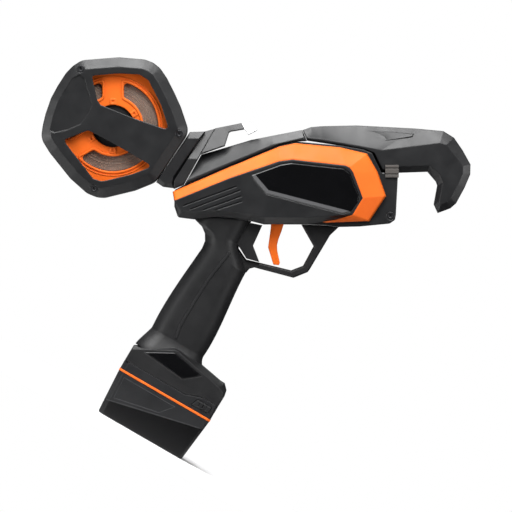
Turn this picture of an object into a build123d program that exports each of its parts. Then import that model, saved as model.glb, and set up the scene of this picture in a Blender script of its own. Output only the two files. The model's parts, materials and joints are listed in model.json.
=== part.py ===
from build123d import *
import os
from math import cos, radians, sin

# A battery vine-tying tool that stands on its battery: +X forward, +Z up, origin at the centre
# of the battery's base. The right side of the tool is -Y. All sizes are in millimetres.

# Body axis and work planes
BODY_PITCH = 30  # nose-up angle of the body over the level battery base
FORWARD = Vector(cos(radians(BODY_PITCH)), 0, sin(radians(BODY_PITCH)))
RIGHT = Vector(0, -1, 0)
BODY = Plane(origin=(0, 0, 0), x_dir=FORWARD, z_dir=RIGHT)  # local x forward, local y up the body
GRIP = Plane.XZ  # local x forward, local y up, level with the base

# Half widths, from the middle plane outwards
CORE_HALF = 17.5
SIDE_HALF = 26.5
STRIPE_THICKNESS = 2.5
SHELL_WALL = 2.5
ARM_INNER_HALF = 9
ARM_ROOT_HALF = 18.5
ARM_TAPER = 3  # degrees, each side of the hook arm narrows towards the tip
COVER_TOP_HALF = 8
COVER_SIDE_HALF = 19
GUARD_HALF = 8
INSET_HALF = 11
BATTERY_HALF = 24.5
CASE_HALF = 22
CASE_RIM_HALF = 17.8

# Drive: one motor turns the twist head through a pair of gears
TWIST_HEIGHT = 186
MOTOR_HEIGHT = 204
GEAR_MODULE = 1
GEAR_TEETH = 26
PINION_TEETH = 10
GEAR_START = 154
GEAR_WIDTH = 8
MOTOR_START = 112
MOTOR_END = 148
MOTOR_RADIUS = 11.8
ROTOR_RADIUS = 1.5
TWIST_SHAFT_RADIUS = 4
RUNNING_GAP = 0.05

# Feed rollers and tie path
FEED_CENTRE = (88, 197)
FEED_RADIUS = 6.5
IDLER_CENTRE = (88, 208.2)
IDLER_RADIUS = 4.5
ROLLER_PIN_RADIUS = 1.5
TIE_TUBE_RADIUS = 1.4

# Reel and its case
REEL_CENTRE = (-21.5, 240.6)
REEL_RADIUS = 45.5
REEL_HALF = 14.8
FLANGE_THICKNESS = 2
REEL_CORE_RADIUS = 18.3
HUB_RADIUS = 16.4
AXLE_RADIUS = 8
WINDING_RADIUS = 37.5
KIDNEY_INNER = 23.7
KIDNEY_OUTER = 35.1
TAB_RADIUS = 18.9
TAB_SIZE = 4.6

# Trigger and jaw
TRIGGER_PIVOT = (106, 172)
JAW_PIVOT = (194.1, 170.8)
PIN_RADIUS = 1.5
JAW_PIN_RADIUS = 2.4
PIN_HEAD = 1.8
PIN_HEAD_RADIUS = 3.1
JAW_HALF = 7.8
NOSE_SLOT_HALF = 8.4

# Battery and its slide
SEAM_HEIGHT = 45.3
BATTERY_GAP = 0.4
STEP_HEIGHT = 49.9
BAND_BOTTOM = 36.1
BAND_TOP = 37.9
RAIL_INNER = 14
RAIL_STEM = 16
RAIL_HEAD = 19
RAIL_CLEARANCE = 0.35
LIP_TOP = 46.9
CHANNEL_TOP = 49.7
CELL_RADIUS = 9.2
CELL_LENGTH = 65
CELL_ROWS = (11.8, 30.6)
CELL_OFFSET = 9.5
PACK_WALL = 2.4
PACK_BASE = (-38, 36.5)  # rear and front of the tub at its base
PACK_TOP = (-40, 40.8)
REAR_CORNER = 4
FRONT_CORNER = 2

# Outlines in the body plane
CORE = [
    (26.4, 190.9), (26.2, 178), (29, 169.7), (41, 168.2), (58.4, 169.7), (84.2, 167.2),
    (96, 164.2), (131, 164.2), (144.4, 163.6), (154.1, 162.2), (170.8, 162.6), (193.7, 164.8),
    (197.7, 167.6), (198.4, 171.6), (200.1, 204), (187.2, 204), (180, 219.3), (173.2, 222.2),
    (155.2, 225.4), (120, 228.6), (107.7, 225.9), (69.4, 209.9), (33.3, 194.6),
]
CORE_CAVITY = [
    (30, 188), (30, 174), (32, 172.5), (58, 173), (85, 170.5), (97, 167.4), (131, 167.4),
    (154, 166), (177.2, 166.5), (177.2, 203), (174, 215), (170, 218.5), (155, 221.4), (120, 224.8),
    (108.5, 222), (70.5, 206),
]
NOSE_SLOT = [(179.8, 169), (184, 165), (190, 163), (201, 163), (203, 205), (179.8, 203.9)]
STRIPE_OUTER = [
    (24.9, 189.5), (69.4, 208.7), (107.7, 224.5), (120, 227.2), (155.2, 223.9), (176, 219),
    (184.2, 204.8), (190.8, 186.2), (177.8, 166.6), (144.4, 165.4),
]
STRIPE_INNER = [
    (26.2, 182.4), (69.4, 199.9), (107.7, 213), (118, 214.3), (159, 209.7), (162.3, 208.1),
    (165, 204.5), (172.5, 184.5), (164.5, 171.4), (151.4, 167.6),
]
PANEL = STRIPE_INNER + [(131, 164.4), (96, 164.6), (84.2, 167.6), (58.4, 170.1), (41, 168.6), (29.2, 170)]
PANEL_SIDE = STRIPE_INNER[:-1] + [
    (150, 170.8), (131, 169.5), (97, 169.8), (86, 172.5), (59, 175), (41, 174), (31.5, 174.5),
]
PANEL_CAVITY = [
    (33, 182), (33, 178), (59, 178.5), (86, 176), (97, 173), (131, 172.5), (150, 173.5),
    (161, 175.5), (168.5, 185), (162, 202.5), (157, 206), (118, 210.5), (108, 209), (70, 196.5),
]
SIDE_PLATE = [
    (86, 202.3), (109, 210.6), (118, 212), (157.5, 207.8), (162.6, 204.4), (169.9, 186),
    (169, 181.6), (163, 173.8), (157, 172.1), (97.4, 187.5), (88, 198.5),
]
TOP_COVER = [
    (34.2, 195.3), (69.4, 210.3), (107.7, 226.3), (120, 229), (129.3, 229.5), (125.6, 237.7),
    (102.3, 233.2), (85.8, 229.9), (69.4, 225), (47.1, 218.5),
]
TOP_COVER_SIDE = TOP_COVER[:5] + [
    (126.6, 231.8), (103, 226.4), (86, 219.3), (69.6, 212.5), (36.2, 198.4),
]
TOP_CAVITY = [
    (52, 206.5), (69.4, 213.4), (107.7, 229), (120, 231.4), (119, 233.9), (102.3, 230.4),
    (85.8, 227), (69.4, 222), (52, 216.5),
]
REAR_PLATE = [(50.2, 236.6), (57.6, 238.6), (46.2, 218.5), (33.2, 195.2), (25.6, 192), (26.2, 198.2)]
ROOF_SLOPE = [(6.5, 250), (6.5, 244), (17.5, 215), (19.5, 190), (40, 190), (40, 250)]
HOOK_ARM = [
    (126.2, 237.7), (132.4, 239.9), (140.6, 240.6), (167.8, 241.2), (213.8, 238.8), (235.6, 236.8),
    (243.9, 231.6), (250.5, 222), (256.7, 210.8), (256.5, 203), (252.1, 192.7), (245.5, 180.5),
    (241, 176.6), (231.6, 173.1), (228.5, 179.9), (231.2, 194.5), (230.2, 197.6), (223.6, 205.3),
    (200.1, 204.5), (187.5, 204.5), (180.4, 219.7), (173.2, 222.6), (155.2, 225.8), (129.8, 229.6),
]
HOOK_ARM_SIDE = [
    (128.8, 232), (133, 231.4), (141, 230.5), (172, 225), (187.5, 221.8), (232.9, 227.5),
    (238, 226), (245, 217.5), (250.8, 209.5), (250.8, 204), (247, 195), (241.2, 184.5),
    (238.5, 181.5), (233.5, 179.5), (232.5, 182), (235.5, 197), (232.5, 203.8), (225, 209.9),
    (203, 209), (188.6, 206.5), (181.8, 219.8), (174, 222.9), (155.2, 226.4), (130, 230.3),
]
HOOK_CAVITY = [
    (134, 236.5), (168, 237.5), (213.5, 235.4), (234.5, 233), (241.5, 228.5), (253, 209.5),
    (252.5, 204), (242, 184), (236, 180.5), (234.5, 183), (237, 197), (233, 204), (224, 210.5),
    (192, 209), (184, 222), (173.5, 226), (155, 229.5), (134, 232.5),
]
HOOK_GUIDE_PATH = [(176, 230), (232, 227.5), (246.5, 206.5), (237, 187), (236.2, 182.5)]
HANG_HOOK = [
    (57.9, 239), (78.2, 243.1), (80.6, 238.4), (70, 236.6), (68.6, 235.7), (65.3, 225.4),
    (46.6, 218.9),
]
HANG_HOOK_TIP = [(78.6, 243.2), (84.7, 243.9), (90.5, 237.7), (83.6, 234.1), (82.8, 236.6), (80.9, 238.4)]
JAW = [
    (195.9, 168.5), (197.6, 171.6), (199.4, 203.4), (196.4, 203.4), (195.4, 196), (195, 176),
    (191.5, 173),
]
NOSE_GROOVES = (203.2, 207.8)
NOSE_BLOCK = [(190.2, 200.5), (200.6, 200.5), (200.6, 210.3), (190.2, 210.3)]
GUARD = [
    (80.5, 126), (82.3, 126.9), (84.6, 129.6), (88.3, 130.6), (118.9, 122.5), (130, 127),
    (131.6, 129.2), (147.4, 155.7), (154.1, 162), (144.4, 163.4), (131, 164), (125.1, 164),
    (134.6, 147.2), (126.4, 132), (117.1, 128.4), (92.8, 134.3), (82, 136.9), (76.5, 145),
    (70, 140),
]
TRIGGER_BLADE = [
    (101.4, 166.5), (101.2, 161.5), (99.1, 146.3), (103.2, 132.8), (107.6, 132.4), (108.3, 134.2),
    (106.3, 143.6), (106.1, 148), (107.3, 153), (109.4, 158.3), (112, 166.5),
]
TRIGGER_TAB = [(101.8, 166), (111.6, 166), (110, 180), (106.5, 180)]
TRIGGER_SLOT = [(93, 163), (117, 163), (116, 184), (96, 184)]

# Outlines of the reel case in the body plane
CASE = [
    (-45.6, 291.7), (-16.8, 294), (3.1, 292.3), (9.8, 289.8), (15.2, 285.6), (20.6, 277.7),
    (26, 267), (30.9, 256.2), (37.5, 236.5), (11.3, 197.2), (-4.8, 190.7), (-28.7, 184.9),
    (-34.7, 185.3), (-41.7, 188.2), (-54.6, 199.7), (-70.5, 219.6), (-76, 228.5), (-77.1, 233.2),
    (-76, 241), (-73.9, 249.8), (-69.6, 262.2), (-64.4, 271.8), (-58, 281.7), (-52.5, 287.3),
]
CASE_CORNER = 12
CASE_BEVEL_DEPTH = 4
CASE_BEVEL_WIDTH = 7.5
UPPER_WINDOW = [
    (-37.9, 279.7), (-16.8, 281.4), (-0.9, 280.6), (6.1, 276.1), (10.9, 267), (16.4, 255.8),
    (22.2, 237.1), (-4.8, 246.4), (-31, 256.9), (-33.5, 260.5),
]
LOWER_WINDOW = [
    (-60, 229.6), (-40.7, 237.3), (-24.2, 228.7), (-10.8, 221.1), (9.4, 209.2), (-6.2, 203.2),
    (-24.2, 198.7), (-30.4, 197.6), (-36.7, 199.6),
]
LATCH_PANEL = [
    (-46.9, 280.3), (-43.4, 276.9), (-40.6, 267.8), (-37.1, 257.4), (-39.8, 251.1), (-46.5, 241.9),
    (-56.5, 237.5), (-66.8, 235.2), (-70.5, 236.8), (-68, 250), (-61.5, 264), (-53, 277.5),
]
CASE_SCREWS = [(-46.5, 284.9), (30.2, 234.5), (-36.1, 191.9)]
NECK = [(38.3, 236), (50, 236.4), (26, 198.4), (25.4, 192.5), (17, 193.6), (12, 197)]
NECK_ROOF = [(36.5, 231), (45.5, 231), (25, 201), (24.5, 196.5), (18.5, 196.5), (14.5, 200)]
HINGE_HEIGHT = 288.2
HINGE_LEFT = 22.8
KNUCKLE_RADIUS = 2
KNUCKLE_GAP = 0.4
NOTCH_RADIUS = 2.4
DOOR_KNUCKLE = (-28, 14)  # start and length along the body
CASE_KNUCKLES = ((-34.4, 6), (-13.6, 6))
HINGE_PIN_RADIUS = 1

# Level sections of the grip: height, rear, front and half width
GRIP_COLLAR = [(60, -39.4, 27, 23.4), (66, -38, 19, 21.6), (71, -36.4, 14, 19.6), (77, -34.6, 11.6, 18)]
GRIP_COLUMN = [(77, -34.6, 11.6, 18), (104, -35, 11.3, 18), (131, -33.2, 8.6, 18), (150, -31.6, 7.4, 18)]
GRIP_CROWN = [
    (150, -31.6, 7.4, 18), (156, -32.4, 1.5, 18), (161, -35.4, -4, 18), (164.5, -40, -7, 18),
    (166.5, -47.5, -8, 18), (192, -48.5, -9, 18),
]
GRIP_CORNER = 13

# Outlines in the upright plane of grip and battery
FOOT = [
    (-39.8, 57.9), (-12, 72.8), (-6, 73.2), (13.4, 71), (21.8, 69.5), (32.4, 67.5),
    (36.5, 67.3), (40.4, 63.3), (41.2, 59.1), (41, STEP_HEIGHT), (26.4, STEP_HEIGHT),
    (13, SEAM_HEIGHT), (-40, SEAM_HEIGHT),
]
FOOT_SIDE = [
    (-39.4, 55), (-9.5, 71), (-7, 71.2), (0, 69.7), (10, 67.7), (25, 64.9), (34, 62.9),
    (39.2, 60.6), (40.5, 58), (40.4, STEP_HEIGHT), (26.4, STEP_HEIGHT), (13, SEAM_HEIGHT),
    (-39.6, SEAM_HEIGHT),
]
FOOT_LAYER = 17
FOOT_PLATE = [(-30.2, 57.7), (-9, 69.4), (17.9, 64), (6.5, 54.3)]
FRONT_INSET = [
    (-12, 184.8), (0.2, 188.9), (1.9, 171.5), (12.6, 162.9), (2.4, 160.2), (-5.8, 164.6),
    (-14, 168),
]
BATTERY_PANEL = [(-33.6, 33), (12, 33), (3.4, 23), (-32.7, 15.3)]
LATCH = [(22, 40.6), (37, 41.6), (37, 46.6), (24.5, 46.6)]


def face_on(plane, points, corner=0):
    """Face bounded by a closed outline on a plane, with its corners rounded if asked."""
    with BuildSketch(plane) as sketch:
        with BuildLine():
            if corner:
                FilletPolyline(*points, radius=corner, close=True)
            else:
                Polyline(*points, close=True)
        make_face()
    return sketch.sketch


def slab(points, low, high, base=BODY, mode=Mode.ADD, corner=0):
    """Outline extruded between two distances from the middle plane, towards the right side."""
    extrude(face_on(base.offset(low), points, corner), amount=high - low, mode=mode)


def frustum(points, low, side_points, high, base=BODY, mode=Mode.ADD):
    """Facets between two outlines with matching corners, at two distances from the middle plane."""
    faces = [face_on(base.offset(low), points), face_on(base.offset(high), side_points)]
    loft(faces, ruled=True, mode=mode)


def disc(centre, radius, low, high, base=BODY, mode=Mode.ADD):
    """Cylinder across the tool, between two distances from the middle plane."""
    with BuildSketch(base.offset(low)) as sketch:
        with Locations(centre):
            Circle(radius)
    extrude(sketch.sketch, amount=high - low, mode=mode)


def across(forward, up, left=0):
    """Plane across the body axis: local x to the left side, local y up the body."""
    origin = BODY.from_local_coords((forward, up, -left))
    return Plane(origin=origin, x_dir=(0, 1, 0), z_dir=FORWARD)


def rod(forward, length, up, radius, mode=Mode.ADD, left=0):
    """Cylinder along the body axis."""
    with BuildSketch(across(forward, up, left)) as sketch:
        Circle(radius)
    extrude(sketch.sketch, amount=length, mode=mode)


def block(low, high, mode=Mode.ADD):
    """Upright box between two corners."""
    centre = [(a + b) / 2 for a, b in zip(low, high)]
    size = [b - a for a, b in zip(low, high)]
    with Locations(Vector(*centre)):
        Box(*size, mode=mode)


def groove(start, end, width, low, high, base=BODY):
    """Straight channel cut between two points of an outline plane."""
    along = (Vector(*end) - Vector(*start)).normalized()
    side = Vector(-along.Y, along.X) * (width / 2)
    corners = [Vector(*start) + side, Vector(*end) + side, Vector(*end) - side, Vector(*start) - side]
    slab([(point.X, point.Y) for point in corners], low, high, base, Mode.SUBTRACT)


def toothed_wheel(forward, up, teeth, bore, first_tooth):
    """Spur gear across the body axis, its first tooth turned by an angle."""
    pitch_radius = GEAR_MODULE * teeth / 2
    root = pitch_radius - 1.15 * GEAR_MODULE
    tip = pitch_radius + 0.75 * GEAR_MODULE
    with BuildSketch(across(forward, up)) as sketch:
        Circle(root + 0.1)
        with PolarLocations((root + tip) / 2, teeth, start_angle=first_tooth):
            Trapezoid(1.6 * GEAR_MODULE, tip - root, 74, rotation=-90)
        Circle(bore, mode=Mode.SUBTRACT)
    extrude(sketch.sketch, amount=GEAR_WIDTH)


def coil(start, turn_radius, wire_radius, pitch, length):
    """Helical spring that runs from a point towards the right side."""
    with BuildLine() as path:
        Helix(pitch=pitch, height=length, radius=turn_radius, center=start, direction=RIGHT)
    with BuildSketch(Plane(origin=path.line @ 0, z_dir=path.line % 0)) as wire:
        Circle(wire_radius)
    sweep(wire.sketch, path=path.line, is_frenet=True)


def cut_to_roof_slope():
    """Cut a part that stands on the roof so that its two sides lean in with the roof."""
    for side in (1, -1):
        slope = [(side * across_roof, up) for across_roof, up in ROOF_SLOPE]
        extrude(face_on(across(20, 0), slope), amount=80, mode=Mode.SUBTRACT)


def pack_section(height, rear, front, inset=0):
    """Level section of the battery with its four corners cut."""
    half = BATTERY_HALF - inset
    rear = rear + inset
    front = front - inset
    corners = [
        (rear + REAR_CORNER, -half), (front - FRONT_CORNER, -half), (front, FRONT_CORNER - half),
        (front, half - FRONT_CORNER), (front - FRONT_CORNER, half), (rear + REAR_CORNER, half),
        (rear, half - REAR_CORNER), (rear, REAR_CORNER - half),
    ]
    return face_on(Plane.XY.offset(height), corners)


def grip_loft(sections, wall, ruled, mode):
    """Rounded column through level sections, inside by a wall thickness."""
    faces = []
    for height, rear, front, half in sections:
        with BuildSketch(Plane.XY.offset(height)) as section:
            with Locations(((rear + front) / 2, 0)):
                RectangleRounded(front - rear - 2 * wall, 2 * (half - wall), GRIP_CORNER - wall)
        faces.append(section.sketch)
    loft(faces, ruled=ruled, mode=mode)


def grip_column(wall, mode=Mode.ADD):
    """Column of the grip and the crown that spreads under the body."""
    grip_loft(GRIP_COLUMN, wall, False, mode)
    grip_loft(GRIP_CROWN, wall, True, mode)


def knuckle(start, length, link_height, pin_radius):
    """Hinge knuckle on the left face of the case, with the link that carries it."""
    link_low = min(link_height, HINGE_HEIGHT)
    link_size = abs(link_height - HINGE_HEIGHT)
    with BuildSketch(across(start, 0)) as link:
        with Locations((HINGE_LEFT - 0.4, link_low + link_size / 2)):
            Rectangle(2 * KNUCKLE_RADIUS - 0.8, link_size)
    extrude(link.sketch, amount=length)
    rod(start, length, HINGE_HEIGHT, KNUCKLE_RADIUS, left=HINGE_LEFT)
    rod(start, length, HINGE_HEIGHT, pin_radius, Mode.SUBTRACT, left=HINGE_LEFT)


def save(piece, name):
    """Label one finished piece and write it as a STEP file."""
    piece.part.label = name
    export_step(piece.part, f"parts/{name}.step")


def save_pair(right_piece, name):
    """Write a right-hand piece and its mirror image for the left side."""
    save(right_piece, f"{name}_right")
    with BuildPart() as left_piece:
        mirror(right_piece.part, about=Plane.XZ)
    save(left_piece, f"{name}_left")


def hook_side_plane():
    """Plane of the hook arm's side face, which closes in towards the tip."""
    turn = radians(ARM_TAPER)
    origin = BODY.from_local_coords((HOOK_ARM[0][0], 0, ARM_ROOT_HALF))
    return Plane(
        origin=origin,
        x_dir=FORWARD * cos(turn) - RIGHT * sin(turn),
        z_dir=RIGHT * cos(turn) + FORWARD * sin(turn),
    )


os.makedirs("parts", exist_ok=True)

# Body shells: a flat core, the slope under the orange stripe and the raised side panel
STRIPE_TOP = SIDE_HALF - STRIPE_THICKNESS
PLATE_FLOOR = SIDE_HALF - 1.5
TUBE_EXIT = [((146, 217.2), (169.5, 229)), ((166, 227.6), (177, 230.6))]
GROOVE_WIDTH = 0.8
GROOVES = [
    ((33.2, 178.5), (74.5, 193.5)), ((38.2, 175.6), (77.5, 190.5)),
    ((48.1, 175), (78.5, 186)), ((57.7, 175), (79, 182)),
]
with BuildPart() as body_shell:
    slab(CORE, 0, CORE_HALF, corner=2)
    frustum(STRIPE_OUTER, CORE_HALF, STRIPE_INNER, STRIPE_TOP)
    frustum(PANEL, CORE_HALF, PANEL, CORE_HALF + 3)
    frustum(PANEL, CORE_HALF + 3, PANEL_SIDE, SIDE_HALF)
    slab(CORE_CAVITY, 0, CORE_HALF - SHELL_WALL, mode=Mode.SUBTRACT)
    slab(PANEL_CAVITY, CORE_HALF - SHELL_WALL, SIDE_HALF - 4, mode=Mode.SUBTRACT)
    slab(NOSE_SLOT, 0, NOSE_SLOT_HALF, mode=Mode.SUBTRACT)
    slab(TRIGGER_SLOT, 0, 6.2, mode=Mode.SUBTRACT)
    slab(SIDE_PLATE, PLATE_FLOOR, SIDE_HALF + 1, mode=Mode.SUBTRACT)
    slab(NOSE_BLOCK, 14.6, CORE_HALF + 1, mode=Mode.SUBTRACT)
    disc(JAW_PIVOT, PIN_HEAD_RADIUS + 0.1, CORE_HALF - PIN_HEAD, CORE_HALF, mode=Mode.SUBTRACT)
    disc(JAW_PIVOT, JAW_PIN_RADIUS + 0.1, 0, CORE_HALF, mode=Mode.SUBTRACT)
    disc(TRIGGER_PIVOT, PIN_RADIUS, 0, 14, mode=Mode.SUBTRACT)
    for groove_start, groove_end in GROOVES:
        groove(groove_start, groove_end, GROOVE_WIDTH, SIDE_HALF - 1, SIDE_HALF + 1)
    for tube_start, tube_end in TUBE_EXIT:
        groove(tube_start, tube_end, 3.6, 0, 1.7)
    rod(170, 14, TWIST_HEIGHT, TWIST_SHAFT_RADIUS + 0.3, Mode.SUBTRACT)
save_pair(body_shell, "body_shell")

with BuildPart() as stripe:
    frustum(STRIPE_OUTER, CORE_HALF + STRIPE_THICKNESS, STRIPE_INNER, SIDE_HALF)
    frustum(STRIPE_OUTER, CORE_HALF, STRIPE_INNER, STRIPE_TOP, mode=Mode.SUBTRACT)
    slab(PANEL, 0, SIDE_HALF + 1, mode=Mode.SUBTRACT)
save_pair(stripe, "stripe")

with BuildPart() as side_plates:
    slab(SIDE_PLATE, PLATE_FLOOR, SIDE_HALF + 0.6)
    outer_face = side_plates.faces().sort_by(Axis.Y)[0]
    chamfer(outer_face.edges(), 0.9)
    mirror(about=Plane.XZ)
save(side_plates, "side_plates")

with BuildPart() as top_cover:
    slab(TOP_COVER, 0, COVER_TOP_HALF)
    frustum(TOP_COVER, COVER_TOP_HALF, TOP_COVER_SIDE, COVER_SIDE_HALF)
    slab(TOP_CAVITY, 0, COVER_TOP_HALF, mode=Mode.SUBTRACT)
    mirror(about=Plane.XZ)
save(top_cover, "top_cover")

with BuildPart() as rear_plate:
    slab(REAR_PLATE, -COVER_SIDE_HALF, COVER_SIDE_HALF)
    cut_to_roof_slope()
save(rear_plate, "rear_plate")

with BuildPart() as hang_hook:
    slab(HANG_HOOK, -COVER_SIDE_HALF, COVER_SIDE_HALF)
    cut_to_roof_slope()
save(hang_hook, "hanging_hook")

with BuildPart() as hang_hook_tip:
    slab(HANG_HOOK_TIP, -COVER_SIDE_HALF, COVER_SIDE_HALF)
    cut_to_roof_slope()
save(hang_hook_tip, "hanging_hook_tip")

# Hook arm: two tapered shells around the tie guide
HOOK_SIDE = hook_side_plane()
with BuildPart() as hook_shell:
    slab(HOOK_ARM, 0, ARM_INNER_HALF)
    side_points = [(forward - HOOK_ARM[0][0], up) for forward, up in HOOK_ARM_SIDE]
    inner_face = face_on(BODY.offset(ARM_INNER_HALF), HOOK_ARM)
    loft([inner_face, face_on(HOOK_SIDE, side_points)], ruled=True)
    slab(HOOK_CAVITY, 0, 7, mode=Mode.SUBTRACT)
    for tube_start, tube_end in TUBE_EXIT:
        groove(tube_start, tube_end, 3.6, 0, 1.7)
    slab(NOSE_BLOCK, 14.6, ARM_ROOT_HALF + 3, mode=Mode.SUBTRACT)
save_pair(hook_shell, "hook_shell")

with BuildPart() as hook_guide:
    with BuildLine(BODY) as guide_path:
        FilletPolyline(*HOOK_GUIDE_PATH, radius=[9, 9, 4])
    with BuildSketch(Plane(origin=guide_path.line @ 0, z_dir=guide_path.line % 0)) as guide_profile:
        Rectangle(3.2, 3.2)
        Rectangle(2, 2, mode=Mode.SUBTRACT)
    sweep()
save(hook_guide, "hook_guide")

with BuildPart() as nose_blocks:
    slab(NOSE_BLOCK, 14.8, CORE_HALF + 1.6)
    for height in NOSE_GROOVES:
        groove((189, height), (202, height), 0.9, CORE_HALF + 0.7, CORE_HALF + 3)
    mirror(about=Plane.XZ)
save(nose_blocks, "nose_blocks")

# Grip halves, their inserts and the trigger guard
BODY_FLOOR = [
    (20, 178), (29, 169.5), (41, 168), (58.4, 169.5), (84.2, 167), (96, 164), (131, 164),
    (131, 230), (20, 230),
]
with BuildPart() as grip:
    grip_column(0)
    grip_loft(GRIP_COLLAR, 0, False, Mode.ADD)
    slab(FOOT, -FOOT_LAYER, FOOT_LAYER, GRIP)
    frustum(FOOT, FOOT_LAYER, FOOT_SIDE, BATTERY_HALF, GRIP)
    frustum(FOOT_SIDE, -BATTERY_HALF, FOOT, -FOOT_LAYER, GRIP)
    slab(BODY_FLOOR, -40, 40, mode=Mode.SUBTRACT)
    grip_column(3.2, Mode.SUBTRACT)
    block((-31, -21, 54), (28, 21, 60), Mode.SUBTRACT)
    block((-28, -14, 59), (6, 14, 78), Mode.SUBTRACT)
    # Underside channels for the battery rails and its contact tower
    block((-36, -11.5, SEAM_HEIGHT - 1), (30, 11.5, CHANNEL_TOP), Mode.SUBTRACT)
    for side in (1, -1):
        inner = side * (RAIL_INNER - RAIL_CLEARANCE)
        stem = sorted((inner, side * (RAIL_STEM + RAIL_CLEARANCE)))
        head = sorted((inner, side * (RAIL_HEAD + RAIL_CLEARANCE)))
        block((-36, stem[0], SEAM_HEIGHT - 1), (30, stem[1], CHANNEL_TOP), Mode.SUBTRACT)
        block((-36, head[0], LIP_TOP), (30, head[1], CHANNEL_TOP), Mode.SUBTRACT)
        for low in (BATTERY_HALF - 0.9, -BATTERY_HALF - 1):
            slab(FOOT_PLATE, low, low + 1.9, GRIP, Mode.SUBTRACT)
    slab(FRONT_INSET, -INSET_HALF, INSET_HALF, GRIP, Mode.SUBTRACT)
with BuildPart() as grip_right:
    add(grip.part)
    split(bisect_by=Plane.XZ, keep=Keep.TOP)
with BuildPart() as grip_left:
    add(grip.part)
    split(bisect_by=Plane.XZ, keep=Keep.BOTTOM)
save(grip_right, "grip_right")
save(grip_left, "grip_left")

with BuildPart() as front_inset:
    slab(FRONT_INSET, -INSET_HALF, INSET_HALF, GRIP)
    slab(BODY_FLOOR, -40, 40, mode=Mode.SUBTRACT)
save(front_inset, "grip_front_inset")

with BuildPart() as trigger_guard:
    slab(GUARD, -GUARD_HALF, GUARD_HALF)
    chamfer(trigger_guard.faces().sort_by(Axis.Y)[0].edges(), 1.2)
    chamfer(trigger_guard.faces().sort_by(Axis.Y)[-1].edges(), 1.2)
    grip_column(0, Mode.SUBTRACT)
    slab(FRONT_INSET, -INSET_HALF, INSET_HALF, GRIP, Mode.SUBTRACT)
save(trigger_guard, "trigger_guard")

with BuildPart() as foot_plates:
    slab(FOOT_PLATE, BATTERY_HALF - 0.8, BATTERY_HALF + 0.3, GRIP)
    chamfer(foot_plates.faces().sort_by(Axis.Y)[0].edges(), 0.5)
    mirror(about=Plane.XZ)
save(foot_plates, "foot_plates")

# Trigger, its pin, return spring and switch
with BuildPart() as trigger:
    slab(TRIGGER_BLADE, -5, 5)
    fillet(trigger.edges().filter_by(Axis.Y).sort_by(Axis.Z)[:4], 0.8)
    slab(TRIGGER_TAB, -3, 3)
    disc(TRIGGER_PIVOT, 4.5, -3, 3)
    disc(TRIGGER_PIVOT, PIN_RADIUS + RUNNING_GAP, -6, 6, mode=Mode.SUBTRACT)
save(trigger, "trigger")

with BuildPart() as trigger_pin:
    disc(TRIGGER_PIVOT, PIN_RADIUS, -13.8, 13.8)
save(trigger_pin, "trigger_pin")

with BuildPart() as trigger_spring:
    coil(BODY.from_local_coords((*TRIGGER_PIVOT, 5.9)), 2.4, 0.4, 1.1, 3.6)
save(trigger_spring, "trigger_spring")

SWITCH = [(113, 171), (125, 171), (125, 181), (113, 181)]
SWITCH_BUTTON = [(112.3, 177.5), (113.5, 177.5), (113.5, 180), (112.3, 180)]
with BuildPart() as trigger_switch:
    slab(SWITCH, -3.2, 3.2)
    fillet(trigger_switch.edges().filter_by(Axis.Y), 0.6)
    slab(SWITCH_BUTTON, -1.5, 1.5)
save(trigger_switch, "trigger_switch")

BOARD = [(36, 177.5), (70, 177.5), (70, 189), (36, 189)]
BOARD_FACE = 5.6
with BuildPart() as control_board:
    slab(BOARD, 4, BOARD_FACE)
    for rear in (39, 48, 57):
        chip = [(rear, 181), (rear + 6, 181), (rear + 6, 187), (rear, 187)]
        slab(chip, BOARD_FACE - 0.5, 8)
    disc((67, 185), 2, BOARD_FACE - 0.5, 12)
save(control_board, "control_board")

# Motor, gears and twist head along the body axis
with BuildPart() as motor_can:
    rod(MOTOR_START, MOTOR_END - MOTOR_START, MOTOR_HEIGHT, MOTOR_RADIUS)
    fillet(motor_can.edges().filter_by(GeomType.CIRCLE), 1.2)
    rod(MOTOR_START + 2, MOTOR_END, MOTOR_HEIGHT, ROTOR_RADIUS + RUNNING_GAP, Mode.SUBTRACT)
    rod(MOTOR_START + 4, MOTOR_END - MOTOR_START - 8, MOTOR_HEIGHT, MOTOR_RADIUS - 2, Mode.SUBTRACT)
save(motor_can, "motor_can")

with BuildPart() as motor_rotor:
    rod(MOTOR_START + 4.5, GEAR_START + GEAR_WIDTH - MOTOR_START - 4, MOTOR_HEIGHT, ROTOR_RADIUS)
    rod(MOTOR_START + 6, MOTOR_END - MOTOR_START - 12, MOTOR_HEIGHT, MOTOR_RADIUS - 2.6)
save(motor_rotor, "motor_rotor")

with BuildPart() as motor_pinion:
    toothed_wheel(GEAR_START, MOTOR_HEIGHT, PINION_TEETH, ROTOR_RADIUS, 180 / PINION_TEETH)
save(motor_pinion, "motor_pinion")

with BuildPart() as twist_gear:
    toothed_wheel(GEAR_START, TWIST_HEIGHT, GEAR_TEETH, TWIST_SHAFT_RADIUS, 0)
save(twist_gear, "twist_gear")

BEARINGS = (148.5, 172)
BEARING_RADIUS = 7.5
BEARING_WIDTH = 4
with BuildPart() as twist_shaft:
    rod(BEARINGS[0] - 1, 187 - BEARINGS[0] + 1, TWIST_HEIGHT, TWIST_SHAFT_RADIUS)
save(twist_shaft, "twist_shaft")

with BuildPart() as shaft_bearings:
    for forward in BEARINGS:
        rod(forward, BEARING_WIDTH, TWIST_HEIGHT, BEARING_RADIUS)
        rod(forward, BEARING_WIDTH, TWIST_HEIGHT, TWIST_SHAFT_RADIUS + RUNNING_GAP, Mode.SUBTRACT)
save(shaft_bearings, "shaft_bearings")

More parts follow.
